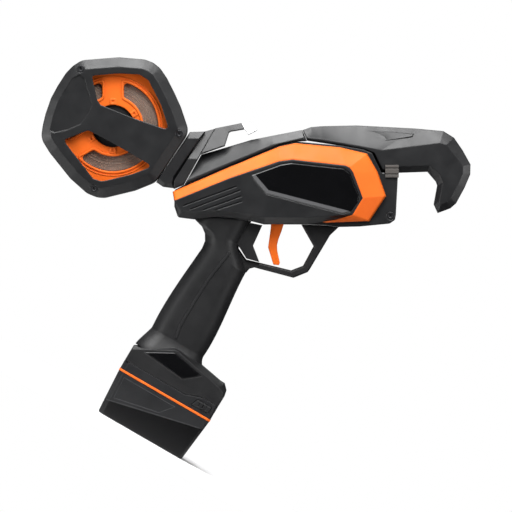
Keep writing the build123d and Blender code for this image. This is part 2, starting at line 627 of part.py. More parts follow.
with BuildPart() as drive_bulkheads:
    for forward, middle, height in ((BEARINGS[0], 193.8, 38), (BEARINGS[1], 185, 26)):
        with BuildSketch(across(forward, 0)) as bulkhead_face:
            with Locations((0, middle)):
                RectangleRounded(29, height, 4)
        extrude(bulkhead_face.sketch, amount=BEARING_WIDTH)
        rod(forward, BEARING_WIDTH, TWIST_HEIGHT, BEARING_RADIUS, Mode.SUBTRACT)
    rod(BEARINGS[0], BEARING_WIDTH, MOTOR_HEIGHT, ROTOR_RADIUS + 1.5, Mode.SUBTRACT)
save(drive_bulkheads, "drive_bulkheads")

with BuildPart() as twist_head:
    rod(183, 9.5, TWIST_HEIGHT, 7.8)
    chamfer(twist_head.faces().sort_by(Axis.X)[-1].edges(), 1.2)
    with BuildSketch(across(187.5, TWIST_HEIGHT)) as claw_gap:
        Rectangle(20, 3)
    extrude(claw_gap.sketch, amount=8, mode=Mode.SUBTRACT)
    rod(183, 4, TWIST_HEIGHT, TWIST_SHAFT_RADIUS, Mode.SUBTRACT)
save(twist_head, "twist_head")

# Jaw that closes the throat, on its pin between the nose cheeks
with BuildPart() as front_jaw:
    slab(JAW, -JAW_HALF, JAW_HALF)
    disc(JAW_PIVOT, 3.6, -JAW_HALF, JAW_HALF)
    disc(JAW_PIVOT, JAW_PIN_RADIUS + RUNNING_GAP, -JAW_HALF, JAW_HALF, mode=Mode.SUBTRACT)
save(front_jaw, "front_jaw")

with BuildPart() as jaw_pin:
    disc(JAW_PIVOT, JAW_PIN_RADIUS, -CORE_HALF + PIN_HEAD, CORE_HALF - PIN_HEAD)
    for low in (CORE_HALF - PIN_HEAD, -CORE_HALF):
        disc(JAW_PIVOT, PIN_HEAD_RADIUS, low, low + PIN_HEAD)
    disc(JAW_PIVOT, 1.3, CORE_HALF - 1, CORE_HALF, mode=Mode.SUBTRACT)
save(jaw_pin, "jaw_pin")

with BuildPart() as cutter_blade:
    slab([(182, 198.5), (194.5, 198.5), (194.5, 203), (184, 203)], -4, -2.8)
save(cutter_blade, "cutter_blade")

# Feed rollers, their bracket and the tube that carries the tie over the motor
with BuildPart() as feed_roller:
    disc(FEED_CENTRE, FEED_RADIUS, -5, 5)
    disc(FEED_CENTRE, ROLLER_PIN_RADIUS + RUNNING_GAP, -5, 5, mode=Mode.SUBTRACT)
    for step in range(24):
        angle = radians(step * 360 / 24)
        rim = (FEED_CENTRE[0] + FEED_RADIUS * cos(angle), FEED_CENTRE[1] + FEED_RADIUS * sin(angle))
        disc(rim, 0.35, -5, 5, mode=Mode.SUBTRACT)
save(feed_roller, "feed_roller")

with BuildPart() as idler_roller:
    disc(IDLER_CENTRE, IDLER_RADIUS, -5, 5)
    disc(IDLER_CENTRE, ROLLER_PIN_RADIUS + RUNNING_GAP, -5, 5, mode=Mode.SUBTRACT)
save(idler_roller, "idler_roller")

with BuildPart() as roller_pins:
    for centre in (FEED_CENTRE, IDLER_CENTRE):
        disc(centre, ROLLER_PIN_RADIUS, -7.4, 7.4)
save(roller_pins, "roller_pins")

BRACKET_HALF = 7.4
BRACKET_PLATE = 1.6
BRACKET_SIDE = [(81, 187.4), (95, 187.4), (95, 211), (92, 212.5), (84, 210), (81, 207)]
BRACKET_BASE = [(81, 187.4), (95, 187.4), (95, 189), (81, 189)]
with BuildPart() as roller_bracket:
    for low in (-BRACKET_HALF, BRACKET_HALF - BRACKET_PLATE):
        slab(BRACKET_SIDE, low, low + BRACKET_PLATE)
    slab(BRACKET_BASE, -BRACKET_HALF, BRACKET_HALF)
    for centre in (FEED_CENTRE, IDLER_CENTRE):
        disc(centre, ROLLER_PIN_RADIUS, -9, 9, mode=Mode.SUBTRACT)
save(roller_bracket, "roller_bracket")

with BuildPart() as feed_motor:
    disc(FEED_CENTRE, 8, 7.6, 14.6)
    fillet(feed_motor.edges().filter_by(GeomType.CIRCLE), 0.8)
save(feed_motor, "feed_motor")

TIE_TUBE_PATH = [(97, 203.2), (104, 206), (110.5, 218.6), (150, 218.6), (168, 228.2), (175, 230)]
with BuildPart() as tie_tube:
    with BuildLine(BODY) as tube_path:
        FilletPolyline(*TIE_TUBE_PATH, radius=[5, 8, 20, 12])
    with BuildSketch(Plane(origin=tube_path.line @ 0, z_dir=tube_path.line % 0)):
        Circle(TIE_TUBE_RADIUS)
        Circle(TIE_TUBE_RADIUS - 0.5, mode=Mode.SUBTRACT)
    sweep()
save(tie_tube, "tie_tube")

# Reel case: near cover with two windows, rim wall, neck, axle and the hinged door on the left
DOOR_TOP = HINGE_HEIGHT - 0.3
DOOR_SPACE = [(-90, 170), (60, 170), (60, DOOR_TOP + 0.6), (-90, DOOR_TOP + 0.6)]
ABOVE_DOOR = [(-90, DOOR_TOP), (60, DOOR_TOP), (60, 300), (-90, 300)]
with BuildPart() as reel_case:
    slab(CASE, -CASE_HALF, CASE_HALF, corner=CASE_CORNER)
    cover_face = reel_case.faces().sort_by(Axis.Y)[0]
    chamfer(cover_face.edges(), CASE_BEVEL_WIDTH, CASE_BEVEL_DEPTH, reference=cover_face)
    slab(DOOR_SPACE, -CASE_HALF - 1, -CASE_RIM_HALF, mode=Mode.SUBTRACT)
    disc(REEL_CENTRE, REEL_RADIUS + 1.7, -CASE_RIM_HALF, CASE_RIM_HALF, mode=Mode.SUBTRACT)
    slab(UPPER_WINDOW, 0, CASE_HALF + 1, mode=Mode.SUBTRACT, corner=2)
    slab(LOWER_WINDOW, 0, CASE_HALF + 1, mode=Mode.SUBTRACT, corner=2)
    slab(LATCH_PANEL, CASE_HALF - 0.8, CASE_HALF + 1, mode=Mode.SUBTRACT)
    for centre in CASE_SCREWS:
        disc(centre, 3, CASE_HALF - 1.6, CASE_HALF + 1, mode=Mode.SUBTRACT)
        disc(centre, 1.5, CASE_HALF - 11, CASE_HALF, mode=Mode.SUBTRACT)
    notch_start = DOOR_KNUCKLE[0] - KNUCKLE_GAP
    notch_length = DOOR_KNUCKLE[1] + 2 * KNUCKLE_GAP
    rod(notch_start, notch_length, HINGE_HEIGHT, NOTCH_RADIUS, Mode.SUBTRACT, left=HINGE_LEFT)
    for start, length in CASE_KNUCKLES:
        knuckle(start, length, HINGE_HEIGHT + 3.4, HINGE_PIN_RADIUS)
save(reel_case, "reel_case")

with BuildPart() as door_pin:
    pin_start = CASE_KNUCKLES[0][0]
    pin_end = CASE_KNUCKLES[1][0] + CASE_KNUCKLES[1][1]
    rod(pin_start, pin_end - pin_start, HINGE_HEIGHT, HINGE_PIN_RADIUS, left=HINGE_LEFT)
save(door_pin, "door_pin")

with BuildPart() as case_screws:
    for centre in CASE_SCREWS:
        disc(centre, 2.9, CASE_HALF - 1.6, CASE_HALF - 0.3)
        disc(centre, 1.5, CASE_HALF - 10, CASE_HALF - 1.6)
        disc(centre, 1.3, CASE_HALF - 1.2, CASE_HALF, mode=Mode.SUBTRACT)
save(case_screws, "case_screws")

with BuildPart() as neck:
    slab(NECK, -14, 14)
    frustum(NECK, 14, NECK_ROOF, 17.5)
    frustum(NECK_ROOF, -17.5, NECK, -14)
    slab(CASE, -CASE_HALF, CASE_HALF, mode=Mode.SUBTRACT, corner=CASE_CORNER)
save(neck, "neck")

with BuildPart() as reel_axle:
    disc(REEL_CENTRE, AXLE_RADIUS, -15.5, CASE_RIM_HALF)
    disc(REEL_CENTRE, AXLE_RADIUS - 2.5, -16, CASE_RIM_HALF - 2, mode=Mode.SUBTRACT)
save(reel_axle, "reel_axle")

with BuildSketch(BODY) as kidneys:
    with Locations(REEL_CENTRE):
        Circle(KIDNEY_OUTER)
        Circle(KIDNEY_INNER, mode=Mode.SUBTRACT)
        with PolarLocations(29, 3, start_angle=90):
            Rectangle(30, 17, mode=Mode.SUBTRACT)
    fillet(kidneys.vertices(), 2.5)
with BuildPart() as reel:
    for low in (-REEL_HALF, REEL_HALF - FLANGE_THICKNESS):
        disc(REEL_CENTRE, REEL_RADIUS, low, low + FLANGE_THICKNESS)
    disc(REEL_CENTRE, REEL_CORE_RADIUS, -REEL_HALF, REEL_HALF)
    disc(REEL_CENTRE, HUB_RADIUS, -REEL_HALF, REEL_HALF, mode=Mode.SUBTRACT)
    extrude(kidneys.sketch, amount=REEL_HALF + 1, both=True, mode=Mode.SUBTRACT)
    with BuildSketch(BODY.offset(REEL_HALF - 1)) as tabs:
        with Locations(REEL_CENTRE):
            with PolarLocations(TAB_RADIUS, 6, start_angle=30):
                Rectangle(TAB_SIZE, TAB_SIZE)
                Rectangle(TAB_SIZE - 2.4, TAB_SIZE - 2.4, mode=Mode.SUBTRACT)
    extrude(tabs.sketch, amount=1.6)
save(reel, "reel")

with BuildPart() as reel_hub:
    disc(REEL_CENTRE, HUB_RADIUS, -REEL_HALF + 0.5, REEL_HALF - 2)
    disc(REEL_CENTRE, AXLE_RADIUS + 0.08, -REEL_HALF, REEL_HALF, mode=Mode.SUBTRACT)
save(reel_hub, "reel_hub")

with BuildPart() as tie_winding:
    disc(REEL_CENTRE, WINDING_RADIUS, -REEL_HALF + 2.2, REEL_HALF - 2.2)
    disc(REEL_CENTRE, REEL_CORE_RADIUS, -REEL_HALF, REEL_HALF, mode=Mode.SUBTRACT)
save(tie_winding, "tie_winding")

with BuildPart() as reel_door:
    slab(CASE, -CASE_HALF, -CASE_RIM_HALF - 0.3, corner=CASE_CORNER)
    chamfer(reel_door.faces().sort_by(Axis.Y)[-1].edges(), 3)
    slab(ABOVE_DOOR, -CASE_HALF - 1, 0, mode=Mode.SUBTRACT)
    for height in (228, 240, 252):
        groove((-42, height), (-2, height), 4, -CASE_HALF - 1, 0)
    for start, length in CASE_KNUCKLES:
        rod(
            start - KNUCKLE_GAP, length + 2 * KNUCKLE_GAP, HINGE_HEIGHT, NOTCH_RADIUS,
            Mode.SUBTRACT, left=HINGE_LEFT,
        )
    knuckle(*DOOR_KNUCKLE, HINGE_HEIGHT - 4.4, HINGE_PIN_RADIUS + RUNNING_GAP)
save(reel_door, "reel_door")

# Battery: a tub, a band and a cover around four cells, on rails under the foot
with BuildPart() as battery_tub:
    loft([pack_section(0, *PACK_BASE), pack_section(BAND_BOTTOM, *PACK_TOP)], ruled=True)
    fillet(battery_tub.faces().sort_by(Axis.Z)[0].edges(), 1.5)
    floor = pack_section(PACK_WALL, *PACK_BASE, PACK_WALL)
    loft([floor, pack_section(BAND_BOTTOM, *PACK_TOP, PACK_WALL)], ruled=True, mode=Mode.SUBTRACT)
    for low in (BATTERY_HALF - 0.6, -BATTERY_HALF - 0.4):
        slab(BATTERY_PANEL, low, low + 1, GRIP, Mode.SUBTRACT)
save(battery_tub, "battery_tub")

with BuildPart() as battery_panels:
    slab(BATTERY_PANEL, BATTERY_HALF - 0.6, BATTERY_HALF, GRIP)
    mirror(about=Plane.XZ)
save(battery_panels, "battery_panels")

with BuildPart() as battery_band:
    extrude(pack_section(BAND_BOTTOM, *PACK_TOP, -0.25), amount=BAND_TOP - BAND_BOTTOM)
    inner_edge = pack_section(BAND_BOTTOM, *PACK_TOP, PACK_WALL)
    extrude(inner_edge, amount=BAND_TOP - BAND_BOTTOM, mode=Mode.SUBTRACT)
save(battery_band, "battery_band")

TOWER = ((-16, -10, SEAM_HEIGHT - BATTERY_GAP), (9, 10, CHANNEL_TOP - 0.4))
LATCH_POCKET = [(21.6, 40.2), (37.4, 41.2), (37.4, 47), (24.2, 47)]
LATCH_SPRING = (30, 44)
with BuildPart() as battery_cover:
    step = [(13.4, 44.9), (26.8, 49.5), (40.9, 49.5), (40.9, 44)]
    slab(step, -22.5, 22.5, GRIP)
    side_step = [(13.4, 44.9), (26.8, 49.5), (39, 49.5), (39, 44)]
    frustum(step, 22.5, side_step, BATTERY_HALF, GRIP)
    frustum(side_step, -BATTERY_HALF, step, -22.5, GRIP)
    extrude(pack_section(BAND_TOP, *PACK_TOP), amount=SEAM_HEIGHT - BATTERY_GAP - BAND_TOP)
    block((-35, -21, BAND_TOP - 1), (18, 21, 42), Mode.SUBTRACT)
    block((-35, -20, BAND_TOP - 1), (36, 20, 40.1), Mode.SUBTRACT)
    block(*TOWER)
    for side in (1, -1):
        stem = sorted((side * RAIL_INNER, side * RAIL_STEM))
        head = sorted((side * RAIL_INNER, side * RAIL_HEAD))
        block((-33, stem[0], SEAM_HEIGHT - 1), (14, stem[1], CHANNEL_TOP - 0.4))
        block((-33, head[0], LIP_TOP + 0.3), (14, head[1], CHANNEL_TOP - 0.4))
        slot = sorted((side * 3.5, side * 6.5))
        block((-17, slot[0], 45.8), (-4, slot[1], 48.8), Mode.SUBTRACT)
        pocket = sorted((side * 18.6, side * (BATTERY_HALF + 1)))
        slab(LATCH_POCKET, pocket[0], pocket[1], GRIP, Mode.SUBTRACT)
save(battery_cover, "battery_cover")

with BuildPart() as latch_button:
    slab(LATCH, 21.2, BATTERY_HALF + 0.9, GRIP)
    chamfer(latch_button.faces().sort_by(Axis.Y)[0].edges(), 0.6)
    disc(LATCH_SPRING, 2.3, 21, 24.6, GRIP, Mode.SUBTRACT)
    for forward in (27.5, 30.5, 33.5):
        groove((forward, 42.2), (forward, 45.6), 0.9, BATTERY_HALF + 0.4, BATTERY_HALF + 2, GRIP)
save_pair(latch_button, "latch_button")

with BuildPart() as latch_springs:
    coil(GRIP.from_local_coords((*LATCH_SPRING, 18.95)), 1.6, 0.3, 1, 3)
    mirror(about=Plane.XZ)
save(latch_springs, "latch_springs")

with BuildPart() as cells:
    for height in CELL_ROWS:
        for side in (CELL_OFFSET, -CELL_OFFSET):
            with BuildSketch(Plane(origin=(-32.5, side, height), x_dir=(0, 1, 0), z_dir=(1, 0, 0))) as cell_end:
                Circle(CELL_RADIUS)
            extrude(cell_end.sketch, amount=CELL_LENGTH)
save(cells, "battery_cells")

with BuildPart() as protection_board:
    block((33.2, -17, 6), (34.6, 17, 33))
save(protection_board, "protection_board")

with BuildPart() as battery_contacts:
    for side in (1, -1):
        for low in (3.55, 5.95):
            leaf = sorted((side * low, side * (low + 0.5)))
            block((-15, leaf[0], 45.9), (-5, leaf[1], 48.6))
save(battery_contacts, "battery_contacts")

with BuildPart() as terminal_block:
    block((-35.6, -10, 45.7), (-20, 10, CHANNEL_TOP - 0.2))
    for side in (1, -1):
        blade = sorted((side * 4.6, side * 5.4))
        block((-20, blade[0], 46.3), (-8, blade[1], 48.3))
save(terminal_block, "terminal_block")
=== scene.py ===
import json
from math import asin, cos, degrees, pi, radians, sin, tau

import bmesh
import bpy
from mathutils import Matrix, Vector
from mathutils.bvhtree import BVHTree
from random import Random


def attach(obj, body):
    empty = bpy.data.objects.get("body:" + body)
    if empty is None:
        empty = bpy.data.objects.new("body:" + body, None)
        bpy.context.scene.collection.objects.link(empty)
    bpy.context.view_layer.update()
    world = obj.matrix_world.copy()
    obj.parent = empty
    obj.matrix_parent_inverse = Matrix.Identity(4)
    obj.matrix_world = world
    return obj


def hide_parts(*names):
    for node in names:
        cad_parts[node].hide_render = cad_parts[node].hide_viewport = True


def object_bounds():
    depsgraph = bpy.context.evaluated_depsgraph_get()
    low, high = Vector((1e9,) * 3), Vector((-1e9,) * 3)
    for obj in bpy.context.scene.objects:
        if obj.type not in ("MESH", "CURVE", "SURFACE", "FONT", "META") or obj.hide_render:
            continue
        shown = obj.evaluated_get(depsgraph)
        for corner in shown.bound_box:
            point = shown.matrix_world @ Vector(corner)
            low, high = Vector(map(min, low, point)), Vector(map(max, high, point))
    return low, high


# Finishes and surface detail for a battery vine-tying tool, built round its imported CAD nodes.
# Body coordinates are millimetres: forward along the body axis, up square to it, and depth
# outwards from the middle plane. Grip coordinates are forward and up, level with the battery.

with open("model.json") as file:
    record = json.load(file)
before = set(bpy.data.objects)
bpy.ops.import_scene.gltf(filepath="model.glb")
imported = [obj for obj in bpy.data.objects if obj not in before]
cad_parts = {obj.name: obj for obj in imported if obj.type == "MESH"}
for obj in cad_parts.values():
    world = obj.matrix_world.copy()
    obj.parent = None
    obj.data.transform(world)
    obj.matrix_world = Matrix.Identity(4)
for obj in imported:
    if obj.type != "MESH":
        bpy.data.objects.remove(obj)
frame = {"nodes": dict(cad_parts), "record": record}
nodes = frame["nodes"]
cad_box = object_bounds()

PITCH = radians(30)
FORWARD = Vector((cos(PITCH), 0, sin(PITCH)))
BODY_UP = Vector((-sin(PITCH), 0, cos(PITCH)))
LEVEL = Vector((1, 0, 0))
UPRIGHT = Vector((0, 0, 1))
MM = 0.001
RIGHT, LEFT = 1, -1
SIDE_NAMES = {RIGHT: "right", LEFT: "left"}


# ---------------------------------------------------------------- materials

def link(tree, output, socket):
    tree.links.new(output, socket)


def add_node(tree, kind, **values):
    """New shader node with the named inputs set."""
    node = tree.nodes.new("ShaderNode" + kind)
    for name, value in values.items():
        node.inputs[name.replace("_", " ")].default_value = value
    return node


def noise(tree, scale, detail=2.0, stretch=(1, 1, 1)):
    """Noise in the piece's own coordinates, whose scale is in features per metre."""
    place = add_node(tree, "TexCoord")
    mapping = add_node(tree, "Mapping", Scale=stretch)
    texture = add_node(tree, "TexNoise", Scale=scale, Detail=detail)
    link(tree, place.outputs["Object"], mapping.inputs["Vector"])
    link(tree, mapping.outputs["Vector"], texture.inputs["Vector"])
    return texture.outputs["Fac"]


def spread(tree, value, low, high, start=0.3, end=0.7):
    """Value from start to end mapped onto low to high."""
    mapped = add_node(tree, "MapRange")
    for name, number in (("From Min", start), ("From Max", end), ("To Min", low), ("To Max", high)):
        mapped.inputs[name].default_value = number
    link(tree, value, mapped.inputs["Value"])
    return mapped.outputs["Result"]


def blend_colours(tree, factor, first, second):
    """Colour between two, by a factor; each is a colour or a socket."""
    mix = tree.nodes.new("ShaderNodeMix")
    mix.data_type = "RGBA"
    link(tree, factor, mix.inputs["Factor"])
    for socket, colour in ((mix.inputs["A"], first), (mix.inputs["B"], second)):
        if isinstance(colour, tuple):
            socket.default_value = (*colour, 1)
        else:
            link(tree, colour, socket)
    return mix.outputs["Result"]


def rounded_normal(tree, radius):
    """Normal with every edge rounded to a radius."""
    rounded = tree.nodes.new("ShaderNodeBevel")
    rounded.samples = 6
    rounded.inputs["Radius"].default_value = radius
    return rounded.outputs["Normal"]


def edge_mask(tree, radius):
    """One on the edges, within a radius, and nothing elsewhere."""
    flat = tree.nodes.new("ShaderNodeNewGeometry")
    facing = tree.nodes.new("ShaderNodeVectorMath")
    facing.operation = "DOT_PRODUCT"
    link(tree, rounded_normal(tree, radius), facing.inputs[0])
    link(tree, flat.outputs["Normal"], facing.inputs[1])
    return spread(tree, facing.outputs["Value"], 1, 0, 0.86, 0.995)


def bump(tree, height, strength, distance, normal=None):
    node = add_node(tree, "Bump", Strength=strength, Distance=distance)
    link(tree, height, node.inputs["Height"])
    if normal is not None:
        link(tree, normal, node.inputs["Normal"])
    return node.outputs["Normal"]


def finish_material(
    name, dark, light, rough, grain=900, grain_depth=0.00004, edge=0.0006, edge_colour=None,
    metallic=0.0, coat=0.0, coat_rough=0.05, specular=0.5, stretch=(1, 1, 1), cloud=35,
    soft=0.0008,
):
    """Moulded or machined finish: clouded colour, uneven gloss, fine grain, and edges painted lighter in
    patches, partly rubbed wear and partly a painted edge highlight.
    """
    material = bpy.data.materials.new(name)
    material.use_nodes = True
    tree = material.node_tree
    shader = tree.nodes["Principled BSDF"]
    shader.inputs["Metallic"].default_value = metallic
    shader.inputs["Coat Weight"].default_value = coat
    shader.inputs["Coat Roughness"].default_value = coat_rough
    shader.inputs["Specular IOR Level"].default_value = specular
    clouds = spread(tree, noise(tree, cloud, 4.0), 0, 1)
    colour = blend_colours(tree, clouds, dark, light)
    # Edges painted a lighter colour in patches: partly rubbed wear, partly a painted highlight along
    # every edge.
    if edge_colour:
        edges = edge_mask(tree, edge)
        rubbed_and_highlit = tree.nodes.new("ShaderNodeMath")
        rubbed_and_highlit.operation = "MULTIPLY"
        link(tree, edges, rubbed_and_highlit.inputs[0])
        link(tree, spread(tree, noise(tree, 160, 3.0), 0.15, 0.75), rubbed_and_highlit.inputs[1])
        colour = blend_colours(tree, rubbed_and_highlit.outputs["Value"], colour, edge_colour)
    link(tree, colour, shader.inputs["Base Color"])
    uneven = spread(tree, noise(tree, 90, 3.0, stretch), rough[0], rough[1])
    link(tree, uneven, shader.inputs["Roughness"])
    normal = rounded_normal(tree, soft)
    grained = bump(tree, noise(tree, grain, 3.0, stretch), 0.5, grain_depth, normal)
    link(tree, grained, shader.inputs["Normal"])
    return material


def speckled_paper(name):
    """Grey-brown paper tie with flecks and fine fibres."""
    material = finish_material(
        name, (0.13, 0.09, 0.07), (0.24, 0.18, 0.145), (0.75, 0.95), grain=2200,
        grain_depth=0.0001, edge=0.0002,
    )
    tree = material.node_tree
    shader = tree.nodes["Principled BSDF"]
    base = shader.inputs["Base Color"].links[0].from_socket
    flecks = spread(tree, noise(tree, 1400, 2.0), 0, 1, 0.60, 0.72)
    colour = blend_colours(tree, flecks, base, (0.50, 0.30, 0.18))
    pores = spread(tree, noise(tree, 950, 2.0, (1, 1, 1.4)), 0, 1, 0.62, 0.74)
    link(tree, blend_colours(tree, pores, colour, (0.035, 0.028, 0.024)), shader.inputs["Base Color"])
    return material


def below(tree, direction, level):
    """One where the place along a direction is under a level, in metres, and nothing past it."""
    place = add_node(tree, "TexCoord")
    reach = tree.nodes.new("ShaderNodeVectorMath")
    reach.operation = "DOT_PRODUCT"
    link(tree, place.outputs["Object"], reach.inputs[0])
    reach.inputs[1].default_value = direction
    return spread(tree, reach.outputs["Value"], 1, 0, level - BLEND_HALF, level + BLEND_HALF)


def refinish(material, region, colour, rough):
    """Give a region of a material its own colour and roughness."""
    tree = material.node_tree
    shader = tree.nodes["Principled BSDF"]
    base = shader.inputs["Base Color"].links[0].from_socket
    old_rough = shader.inputs["Roughness"].links[0].from_socket
    link(tree, blend_colours(tree, region, base, colour), shader.inputs["Base Color"])
    mixed = tree.nodes.new("ShaderNodeMix")
    link(tree, region, mixed.inputs["Factor"])
    link(tree, old_rough, mixed.inputs["A"])
    mixed.inputs["B"].default_value = rough
    link(tree, mixed.outputs["Result"], shader.inputs["Roughness"])


def battery_plastic(name):
    """Textured black case whose lower part, below a slanting line, is smooth and glossy."""
    material = finish_material(
        name, (0.009, 0.0092, 0.0102), (0.0145, 0.0148, 0.016), (0.40, 0.52),
        edge_colour=(0.06, 0.06, 0.066), specular=0.28,
    )
    lower = below(material.node_tree, (-GLOSS_SLOPE, 0, 1), GLOSS_HEIGHT)
    refinish(material, lower, (0.0028, 0.0028, 0.0031), 0.24)
    return material


def gloss_plastic(name):
    """Smooth black plastic with a thin coat."""
    return finish_material(
        name, (0.0016, 0.0016, 0.0019), (0.0030, 0.0030, 0.0035), (0.12, 0.19), coat=0.25,
        grain_depth=0.000004, grain=200, edge_colour=(0.02, 0.02, 0.022), specular=0.3,
    )


def side_plate_plastic(name):
    """Gloss black plate with a rougher light grey border along its rear and lower edges, a painted
    highlight where a bevelled edge would catch the light.
    """
    material = gloss_plastic(name)
    tree = material.node_tree
    painted_border_highlight = tree.nodes.new("ShaderNodeMath")
    painted_border_highlight.operation = "MAXIMUM"
    for socket, (start, end) in zip(painted_border_highlight.inputs, PLATE_HIGHLIGHT_BORDER):
        first = FORWARD * start[0] + BODY_UP * start[1]
        last = FORWARD * end[0] + BODY_UP * end[1]
        along = (last - first).normalized()
        inward = Vector((-along.z, 0, along.x))
        link(tree, below(tree, inward, inward.dot(first) * MM), socket)
    # Painted highlight: the border is coloured light grey where a bevelled edge would catch the light,
    # and made rougher.
    refinish(material, painted_border_highlight.outputs["Value"], (0.085, 0.085, 0.088), 0.5)
    return material


BLEND_HALF = 0.0002  # half the width over which one finish turns into another, metres
# Inner lines of the side plate's border, painted light grey as a highlight, in body coordinates, each
# from the rear forwards
PLATE_HIGHLIGHT_BORDER = (((89.6, 202), (99.4, 190.6)), ((99.4, 190.6), (158, 175.4)))
GLOSS_SLOPE = 0.2279  # rise of the gloss line on the battery, per metre forward
GLOSS_HEIGHT = 0.0195  # where it crosses the middle of the battery, metres

MATERIALS = {
    "shell_grey": finish_material(
        "shell_grey", (0.0085, 0.0087, 0.0095), (0.0135, 0.0137, 0.0145), (0.32, 0.42),
        edge_colour=(0.021, 0.021, 0.0225), specular=0.42, soft=0.0012,
    ),
    "grip_black": finish_material(
        "grip_black", (0.0070, 0.0070, 0.0076), (0.0115, 0.0115, 0.012), (0.42, 0.54), grain=1300,
        grain_depth=0.00009, edge_colour=(0.035, 0.035, 0.038), specular=0.32, soft=0.0012,
    ),
    "orange": finish_material(
        "orange", (0.78, 0.125, 0.010), (0.86, 0.155, 0.014), (0.42, 0.56),
        edge_colour=(0.95, 0.24, 0.04), grain_depth=0.00002, specular=0.2, soft=0.0016,
    ),
    "gloss_black": gloss_plastic("gloss_black"),
    "battery_black": battery_plastic("battery_black"),
    "nose_grey": finish_material(
        "nose_grey", (0.045, 0.040, 0.036), (0.085, 0.075, 0.068), (0.6, 0.75), grain=700,
        grain_depth=0.00012, edge_colour=(0.14, 0.13, 0.12),
    ),
    "steel": finish_material(
        "steel", (0.46, 0.46, 0.47), (0.54, 0.54, 0.55), (0.30, 0.40), grain=2600,
        grain_depth=0.00001, metallic=1.0, stretch=(1, 6, 1), edge_colour=(0.75, 0.75, 0.76),
    ),
    "motor_steel": finish_material(
        "motor_steel", (0.32, 0.33, 0.35), (0.42, 0.43, 0.45), (0.30, 0.45), grain=1500,
        grain_depth=0.00003, metallic=1.0,
    ),
    "screw_black": finish_material(
        "screw_black", (0.018, 0.018, 0.020), (0.030, 0.030, 0.032), (0.30, 0.48), grain=1800,
        metallic=0.6, edge_colour=(0.16, 0.16, 0.17), edge=0.0003,
    ),
    "alloy": finish_material(
        "alloy", (0.42, 0.43, 0.44), (0.56, 0.57, 0.58), (0.38, 0.55), grain=1100, metallic=1.0,
        edge_colour=(0.72, 0.72, 0.73),
    ),
    "roller_rubber": finish_material(
        "roller_rubber", (0.020, 0.019, 0.018), (0.035, 0.034, 0.032), (0.7, 0.9), grain=1600,
        grain_depth=0.00012,
    ),
    "circuit_board": finish_material(
        "circuit_board", (0.008, 0.075, 0.030), (0.012, 0.11, 0.045), (0.25, 0.4), cloud=300,
    ),
    "switch_plastic": finish_material(
        "switch_plastic", (0.025, 0.025, 0.028), (0.040, 0.040, 0.044), (0.35, 0.5),
        edge_colour=(0.09, 0.09, 0.1),
    ),
    "contact_brass": finish_material(
        "contact_brass", (0.70, 0.46, 0.16), (0.82, 0.60, 0.26), (0.22, 0.38), metallic=1.0,
        edge_colour=(0.95, 0.80, 0.50),
    ),
    "cell_wrap": finish_material(
        "cell_wrap", (0.02, 0.10, 0.22), (0.03, 0.14, 0.30), (0.28, 0.4), coat=0.3,
    ),
    "tie_paper": speckled_paper("tie_paper"),
}

for entry in frame["record"]["subparts"]:
    node = nodes[entry["node"]]
    node.data.materials.clear()
    node.data.materials.append(MATERIALS[entry["material_slot"]])
nodes["side_plates"].data.materials[0] = side_plate_plastic("side_plate_black")


# ---------------------------------------------------------------- mesh helpers

def body_point(forward, up, depth, side=RIGHT):
    """Point from body coordinates, out to one side by a depth."""
    return (FORWARD * forward + BODY_UP * up + Vector((0, -side * depth, 0))) * MM


def grip_point(forward, up, depth, side=RIGHT):
    """Point from grip coordinates, out to one side by a depth."""
    return (LEVEL * forward + UPRIGHT * up + Vector((0, -side * depth, 0))) * MM


def resample(points, spacing, closed):
    """Points along a line, an even distance apart."""
    line = [Vector(point) for point in points]
    if closed:
        line.append(line[0])
    lengths = [(b - a).length for a, b in zip(line, line[1:])]
    count = max(2, round(sum(lengths) / spacing))
    found = []
    for step in range(count if closed else count + 1):
        wanted = sum(lengths) * step / count
        part = 0
        while part < len(lengths) - 1 and wanted > lengths[part]:
            wanted -= lengths[part]
            part += 1
        share = min(1, wanted / lengths[part])
        found.append(line[part].lerp(line[part + 1], share))
    return found


def relax(points, passes, closed):
    """Round the corners of an evenly spaced line."""
    for _ in range(passes):
        eased = []
        for i, point in enumerate(points):
            if not closed and i in (0, len(points) - 1):
                eased.append(point)
                continue
            after = points[(i + 1) % len(points)]
            eased.append(points[i - 1] * 0.25 + point * 0.5 + after * 0.25)
        points = eased
    return points


def make_mesh(name, vertices, faces, slot, body, smooth=True):
    """Mesh object with its finish, on its body."""
    mesh = bpy.data.meshes.new(name)
    mesh.from_pydata(vertices, [], faces)
    mesh.update()
    shape = bmesh.new()
    shape.from_mesh(mesh)
    bmesh.ops.recalc_face_normals(shape, faces=shape.faces)
    shape.to_mesh(mesh)
    shape.free()
    mesh.materials.append(MATERIALS[slot])
    piece = bpy.data.objects.new(name, mesh)
    bpy.context.scene.collection.objects.link(piece)
    if smooth:
        mesh.shade_smooth()
        mesh.set_sharp_from_angle(angle=radians(35))
    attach(piece, body)
    return piece


class Surface:
    """Outer surface of some CAD nodes, found from one side of the tool."""

    def __init__(self, *names):
        vertices, faces = [], []
        for name in names:
            mesh = nodes[name].data
            start = len(vertices)
            vertices += [vertex.co.copy() for vertex in mesh.vertices]
            faces += [[start + i for i in polygon.vertices] for polygon in mesh.polygons]
        self.tree = BVHTree.FromPolygons(vertices, faces)

    def depth(self, place, forward, up, side, default):
        """Depth in millimetres of the surface at a point of the side view."""
        start = place(forward, up, 200, side)
        hit = self.tree.ray_cast(start, Vector((0, side, 0)))[0]
        return default if hit is None else abs(hit.y) / MM


